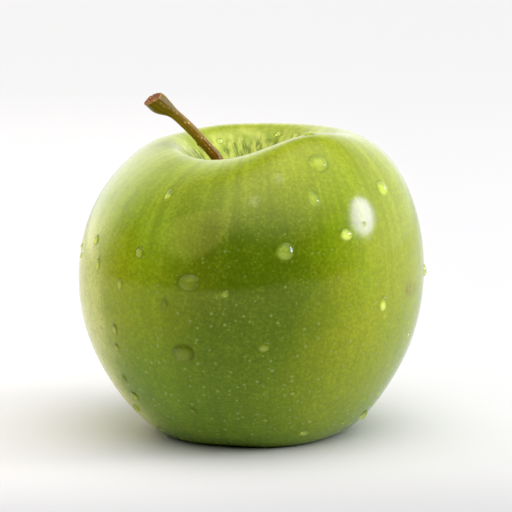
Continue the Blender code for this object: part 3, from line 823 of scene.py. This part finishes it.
def skin_material():
    """Glossy green skin with pores, marks, pale walls in its hollows and, painted on it, shade on the
    front, sheen on the rims, light on the sides and the light and shade under the larger drops."""
    paint = Painter("green_skin")
    place, lines = paint.place(), paint.kept("meridian")
    height, along = paint.axis(place, "Z"), paint.axis(lines, "Z")
    blotches = paint.noise(place, 55, 3, 0.55)
    fine_streaks = paint.noise(paint.stretched(lines, (1, 1, 0.14)), 62, 2, 0.6)
    mottle = paint.noise(place, 330, 3, 0.6)

    colour = skin_ground(paint, place, lines, height, blotches)
    colour = skin_variation(paint, colour, place, lines, height, fine_streaks, mottle)
    colour = hollow_walls(paint, colour, lines, along, mottle)
    colour, pore = skin_pores(paint, colour, place, height)
    colour, scar = skin_marks(paint, colour, place, lines)
    colour = light_under_drops(paint, colour, place)

    normal = paint.bump(paint.noise(place, 2400, 2, 0.5), 0.00002, 0.35)
    normal = paint.bump(fine_streaks, 0.00006, 0.3, normal)
    normal = paint.bump(pore, 0.00004, 0.5, normal)
    shine = paint.sum(paint.ramp(blotches, 0.3, 0.7, 0.11, 0.16), paint.times(pore, 0.12))
    shine = paint.sum(shine, paint.times(scar, 0.3))
    return paint.finish(
        Base_Color=colour, Roughness=shine, Normal=normal, IOR=1.47, Specular_Tint=(1, 1, 0.38, 1),
        Subsurface_Weight=0.12, Subsurface_Radius=(1, 1.3, 0.25), Subsurface_Scale=0.0012,
    )


BARK_RED, BARK_OLIVE = (0.23, 0.085, 0.003, 1), (0.33, 0.2, 0.004, 1)
BARK_GREEN, BARK_DARK = (0.21, 0.15, 0.003, 1), (0.06, 0.03, 0.003, 1)
# Pale specks: partly the bark's own, partly painted glints on the side that faces the light.
BARK_SPECK_AND_GLINT = (0.75, 0.52, 0.22, 1)
BARK_CELLS = 1250  # cells a metre for the specks
CUT_FIBRE, CUT_DARK = (0.58, 0.25, 0.08, 1), (0.15, 0.05, 0.015, 1)
CUT_RIM = (0.55, 0.3, 0.1, 1)


def bark_specks_and_glints(paint, place, along, across):
    """Pale specks, one in a cell where its number allows it, mostly up and left, few on the knob:
    partly the bark's own specks, partly painted glints on the side that faces the light.
    """
    lit_ridge = paint.times(paint.ramp(across, 0.1, -0.25, 0.12, 1), paint.ramp(across, -0.9, -0.65, 0.3, 1))
    lit_ridge = paint.times(lit_ridge, paint.ramp(along, 0.86, 0.74, 0.3, 1))
    far, chance = paint.cells(place, BARK_CELLS)
    speck = paint.times(paint.ramp(far, 0.4, 0.16), paint.ramp(chance, 0.15, 0.4, 0, 0.95))
    return paint.times(speck, lit_ridge)


def cut_colour(paint, grain, along, across):
    """Orange brown fibre with dark grain and rings, darker on one side, and a pale rim."""
    cut = paint.mix(paint.ramp(grain, 0.4, 0.6), CUT_DARK, CUT_FIBRE)
    rings = paint.node("ShaderNodeMath", {0: paint.times(along, 34)}, operation="SINE")
    cut = paint.mix(paint.ramp(rings, 0.2, 0.9, 0, 0.5), cut, CUT_DARK)
    cut = paint.mix(paint.ramp(across, 0.1, -0.9, 0, 0.75), cut, CUT_DARK)
    return paint.mix(paint.ramp(along, 1.08, 1.02), cut, CUT_RIM)


def stalk_material():
    """Bark from reddish brown at the foot through olive brown to a green knob, with dark fibres along
    it, pale specks that are partly painted glints, and the cut at its end."""
    paint = Painter("stalk_bark")
    place, lines = paint.place(), paint.kept("lengthwise")
    along, across = paint.axis(lines, "Z"), paint.axis(lines, "X")
    fibres = paint.noise(paint.stretched(lines, (1, 1, 1.6)), 4.5, 4, 0.65)
    mottle = paint.noise(place, 900, 3, 0.6)
    cut_grain = paint.noise(place, 2600, 3, 0.7)

    colour = paint.mix(paint.ramp(along, 0.42, 0.74), BARK_RED, BARK_OLIVE)
    colour = paint.mix(paint.ramp(along, 0.78, 0.9), colour, BARK_GREEN)
    colour = paint.mix(paint.ramp(fibres, 0.42, 0.6, 0.5, 0), colour, BARK_DARK)
    colour = paint.mix(paint.ramp(mottle, 0.52, 0.72, 0, 0.45), colour, BARK_OLIVE)
    colour = paint.mix(bark_specks_and_glints(paint, place, along, across), colour, BARK_SPECK_AND_GLINT)
    on_cut = paint.ramp(along, 0.99, 1.01)
    colour = paint.mix(on_cut, colour, cut_colour(paint, cut_grain, along, across))

    normal = paint.bump(fibres, 0.00012, 0.6)
    normal = paint.bump(mottle, 0.00006, 0.5, normal)
    normal = paint.bump(paint.times(cut_grain, on_cut), 0.0002, 0.8, normal)
    return paint.finish(
        Base_Color=colour, Roughness=paint.ramp(on_cut, 0, 1, 0.38, 0.75), Normal=normal,
        Specular_IOR_Level=0.3, Specular_Tint=(1, 0.85, 0.6, 1),
    )


CALYX_DARK, CALYX_BROWN = (0.022, 0.013, 0.006, 1), (0.115, 0.07, 0.03, 1)
CALYX_DOWN = (0.24, 0.19, 0.12, 1)


def calyx_material():
    """Dried sepals: dark brown with paler grey brown down and darker creases."""
    paint = Painter("dry_sepals")
    place = paint.place()
    creases = paint.noise(place, 1400, 4, 0.7)
    down = paint.noise(place, 520, 2, 0.6)
    colour = paint.mix(paint.ramp(creases, 0.38, 0.62), CALYX_DARK, CALYX_BROWN)
    colour = paint.mix(paint.ramp(down, 0.55, 0.75, 0, 0.6), colour, CALYX_DOWN)
    return paint.finish(Base_Color=colour, Roughness=0.85, Normal=paint.bump(creases, 0.0002, 0.8))


def water_material():
    """Clear water, its mirrored light tinted yellow green, as the picture's drops are."""
    return Painter("water").finish(
        Base_Color=(0.98, 1, 0.85, 1), Roughness=0.0, IOR=1.33, Transmission_Weight=1.0,
        Specular_Tint=(0.9, 1, 0.35, 1),
    )


# Painted light and shade on the floor: lighter, warmer paper on the left where the apple's shadow falls,
# and a darker strip of painted shade just in front of the apple.
FLOOR_LEFT_LIT, FLOOR_RIGHT = (0.735, 0.722, 0.722, 1), (0.655, 0.652, 0.664, 1)
FLOOR_FRONT_SHADE, FLOOR_FAR = (0.548, 0.548, 0.56, 1), (0.64, 0.64, 0.642, 1)
FLOOR_LIT_LEFT_TO_RIGHT, FLOOR_FAR_FROM = (-0.06, 0.09), (0.2, 1.2)
FLOOR_SHADE_STRIP_BACK, FLOOR_SHADE_STRIP_FRONT = (-0.035, -0.09), (-0.19, -0.13)
FLOOR_RADIUS, FLOOR_SIDES = 8.0, 96


def floor_material():
    """Matt pale paper, darker far off, with painted light that makes it lighter and warmer on the left
    and a strip of painted shade in front.
    """
    paint = Painter("pale_floor")
    place = paint.place()
    across, ahead = paint.axis(place, "X"), paint.axis(place, "Y")
    colour = paint.mix(paint.ramp(across, *FLOOR_LIT_LEFT_TO_RIGHT), FLOOR_LEFT_LIT, FLOOR_RIGHT)
    shade_strip = paint.times(paint.ramp(ahead, *FLOOR_SHADE_STRIP_BACK), paint.ramp(ahead, *FLOOR_SHADE_STRIP_FRONT))
    colour = paint.mix(shade_strip, colour, FLOOR_FRONT_SHADE)
    colour = paint.mix(paint.ramp(ahead, *FLOOR_FAR_FROM), colour, FLOOR_FAR)
    fibre = paint.bump(paint.noise(place, 900, 3, 0.6), 0.0001, 0.15)
    return paint.finish(Base_Color=colour, Roughness=0.9, Specular_IOR_Level=0.1, Normal=fibre)


def build_floor():
    """A flat disc under the apple."""
    turn = turns(FLOOR_SIDES)
    points = np.stack([np.cos(turn), np.sin(turn), np.zeros(FLOOR_SIDES)], axis=-1) * FLOOR_RADIUS
    floor = add_piece("pale_floor", points, [list(range(FLOOR_SIDES))], floor_material())


def build_camera():
    """The picture's camera. The lens shift moves its aim to where the picture has it."""
    data = bpy.data.cameras.new("camera")
    data.lens, data.sensor_width = LENS, SENSOR
    data.shift_x = (PICTURE_SIZE / 2 - AIM_SEEN_AT[0]) / PICTURE_SIZE
    data.shift_y = (AIM_SEEN_AT[1] - PICTURE_SIZE / 2) / PICTURE_SIZE
    data.clip_start, data.clip_end = 0.01, 100
    camera = bpy.data.objects.new("camera", data)
    camera.location = CAMERA_PLACE
    camera.rotation_euler = Vector(AHEAD).to_track_quat("-Z", "Y").to_euler()
    bpy.context.scene.collection.objects.link(camera)
    bpy.context.scene.camera = camera


# Surroundings: walls that are bright but for the room behind the camera, and glows, each (azimuth
# and elevation in degrees, cosine at the edge, strength).
WALLS_TOWARDS, WALLS_EDGE, WALLS_STRENGTH = 76, (-0.1, 0.45), 1.28
CEILING_HEIGHTS, CEILING_SHARE, SEEN_STRENGTH = (0.48, 0.76), 0.3, 0.94
LEFT_GLOW, RIGHT_GLOW = (129, 24, 0.79, 1.1), (8, 12, 0.75, 0.4)
FRONT_GLOW, PANEL = (212, 58, 0.68, 0.82), (318, 68, 0.66, 2.8)
WALL_LEFT, WALL_RIGHT, WHITE = (1.04, 1.01, 0.98, 1), (0.99, 0.99, 1.0, 1), (1, 1, 1, 1)

# Lamps: where the picture shows their reflection, size, power and colour. The key is one lamp that
# lights and, just in front of it, one that only shines.
KEY_SHINES_AT, KEY_SIZE, KEY_POWER = (362, 215.6), (0.34, 0.33), 2.9
KEY_DISTANCE, SHINE_POWER, SHINE_COLOUR = 1.05, 3.1, (0.98, 0.84, 2.5)
DULL_SHINES_AT, DULL_SIZE, DULL_POWER, DULL_COLOUR = (197, 233), (0.75, 0.72), 2.2, (1.0, 0.78, 0.4)
GLINT_SIZE, GLINT_POWER, GLINT_COLOUR = (0.28, 0.42), 26.0, (1.0, 0.95, 2.6)


def build_world():
    """Brightness of the surroundings: a soft step in the cosine from the walls' direction, less of it
    above, and one in the cosine from each glow's direction."""
    paint = Painter("studio", bpy.data.worlds, "Background")
    direction = paint.node("ShaderNodeTexCoord", output="Generated")
    walls = paint.ramp(paint.cosine(direction, WALLS_TOWARDS, 0), *WALLS_EDGE, 0, WALLS_STRENGTH)
    ceiling = paint.ramp(paint.axis(direction, "Z"), *CEILING_HEIGHTS, 1, CEILING_SHARE)
    light = paint.times(walls, ceiling)
    for azimuth, elevation, edge, strength in (LEFT_GLOW, RIGHT_GLOW, FRONT_GLOW, PANEL):
        glow = paint.ramp(paint.cosine(direction, azimuth, elevation), edge, 1, 0, strength)
        light = paint.sum(light, glow)
    seen = paint.node("ShaderNodeLightPath", output="Is Camera Ray")
    light = paint.sum(light, paint.times(seen, paint.sum(SEEN_STRENGTH, light, "SUBTRACT")))
    colour = paint.mix(paint.ramp(paint.axis(direction, "X"), -0.8, 0.5), WALL_LEFT, WALL_RIGHT)
    bpy.context.scene.world = paint.finish(Color=paint.mix(seen, colour, WHITE), Strength=light)


def build_lamp(name, shines_at, size, power, colour=(1, 1, 1), distance=1.0, lights=False):
    """A soft lamp that lights matt surfaces or else shines in glossy ones only. It stands where the
    sight of a pixel goes on to when the form mirrors it."""
    along, turn = skin_under([shines_at]).T
    place, facing = grown(along, turn)[0], facing_of(along, turn)[0]
    sight = unit(place - CAMERA_PLACE)
    towards = sight - 2 * (sight @ facing) * facing
    data = bpy.data.lights.new(name, "AREA")
    data.shape, data.energy, data.color = "ELLIPSE", power, colour
    data.size, data.size_y = size
    lamp = bpy.data.objects.new(name, data)
    lamp.location = place + towards * distance
    lamp.rotation_euler = Vector(-towards).to_track_quat("-Z", "Y").to_euler()
    lamp.visible_diffuse, lamp.visible_glossy = lights, not lights
    lamp.visible_transmission = False  # its light through water would be grainy
    bpy.context.scene.collection.objects.link(lamp)
    return lamp


def build_lights(drops):
    """The world and the lamps. The glint lamp, the key's brightest part, shows only in the drops."""
    build_world()
    build_lamp("key_lamp", KEY_SHINES_AT, KEY_SIZE, KEY_POWER, distance=KEY_DISTANCE, lights=True)
    build_lamp("key_shine", KEY_SHINES_AT, KEY_SIZE, SHINE_POWER, SHINE_COLOUR)
    build_lamp("dull_panel", DULL_SHINES_AT, DULL_SIZE, DULL_POWER, DULL_COLOUR)
    glint = build_lamp("glint_lamp", KEY_SHINES_AT, GLINT_SIZE, GLINT_POWER, GLINT_COLOUR)
    wet = bpy.data.collections.new("wet_things")
    wet.objects.link(drops)
    glint.light_linking.receiver_collection = wet


def dress():
    """Makes every piece, attaches each to the root body, hides the imported parts, and gives back the
    drops.
    """
    skin = build_skin(skin_material())
    stalk = build_stalk(stalk_material())
    calyx = build_calyx(calyx_material())
    drops = build_drops(water_material())
    drops.visible_shadow = False  # clear water casts no shadow
    for piece, slot in ((skin, "peel"), (stalk, "stalk_bark"), (calyx, "dried_calyx"), (drops, "water")):
        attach(piece, "root")
    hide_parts("fruit")
    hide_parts("stalk")
    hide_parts("calyx")
    stalk.visible_glossy = False  # the waves of the skin scatter its reflection
    return drops


bpy.context.scene.view_settings.view_transform = "Standard"
drops = dress()
build_floor()
build_camera()
build_lights(drops)
